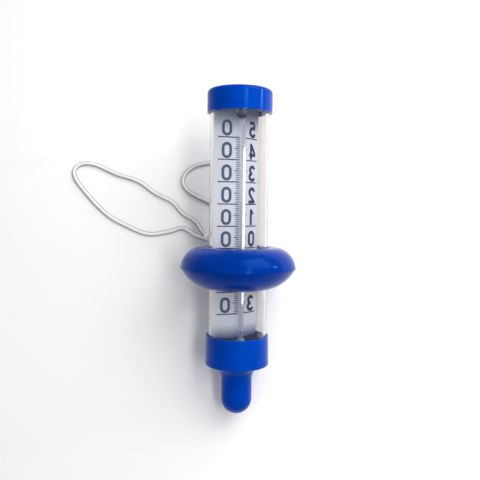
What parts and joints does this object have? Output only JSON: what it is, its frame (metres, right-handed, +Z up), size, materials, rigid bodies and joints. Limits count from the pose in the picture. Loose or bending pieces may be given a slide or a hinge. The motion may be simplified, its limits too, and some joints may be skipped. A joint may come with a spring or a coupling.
{
  "type": "floating pool thermometer",
  "caption": "Floating pool thermometer: clear tube with a scale card and glass thermometer, blue float ring, cap and weighted nose, and a cord with a hand loop.",
  "frame": {"origin": "centre of the bottom of the object's box, without its cord: the surface that it lies on", "axes": "+Z up from that surface; the tube's axis lies in the YZ plane and rises 15.3 degrees towards +Y, where the top cap is; the nose points to -Y"},
  "size_m": [0.1453, 0.1889, 0.0783],
  "materials": {
    "clear_tube": "clear moulded polystyrene",
    "blue_plastic": "glossy royal blue moulding",
    "float_plastic": "glossy deep blue hollow moulding with a welded seam",
    "black_rubber": "soft black rubber",
    "grey_rubber": "soft grey rubber",
    "clear_disc": "natural white plastic",
    "steel": "turned steel",
    "glass": "clear drawn glass",
    "blue_spirit": "blue dyed spirit",
    "white_card": "satin white film with dark blue print",
    "white_cord": "white braided cord"
  },
  "bodies": {
    "casing": {"tube": "clear_tube", "top_cap": "blue_plastic", "top_gasket": "black_rubber", "top_spacer": "clear_disc", "top_bush": "grey_rubber", "bottom_cup": "blue_plastic", "bottom_gasket": "black_rubber", "bottom_spacer": "clear_disc", "bulb_grommet": "grey_rubber", "ballast_sleeve": "steel", "glass_envelope": "glass", "spirit_bulb": "blue_spirit", "scale_card": "white_card", "cord": "white_cord", "eyelet_knot": "white_cord", "loop_knot": "white_cord"},
    "float": {"float_upper": "float_plastic", "float_lower": "float_plastic", "float_grip_ring": "black_rubber"},
    "spirit": {"spirit_column": "blue_spirit"}
  },
  "joints": [
    {"name": "float_slide", "type": "slide", "parent": "casing", "child": "float", "axis": [0, 0.9646, 0.2639], "range_m": [-0.027, 0.077]},
    {"name": "reading_slide", "type": "slide", "parent": "casing", "child": "spirit", "axis": [0, 0.9646, 0.2639], "range_m": [-0.066, 0.036], "deforming": ["spirit_column"]}
  ]
}
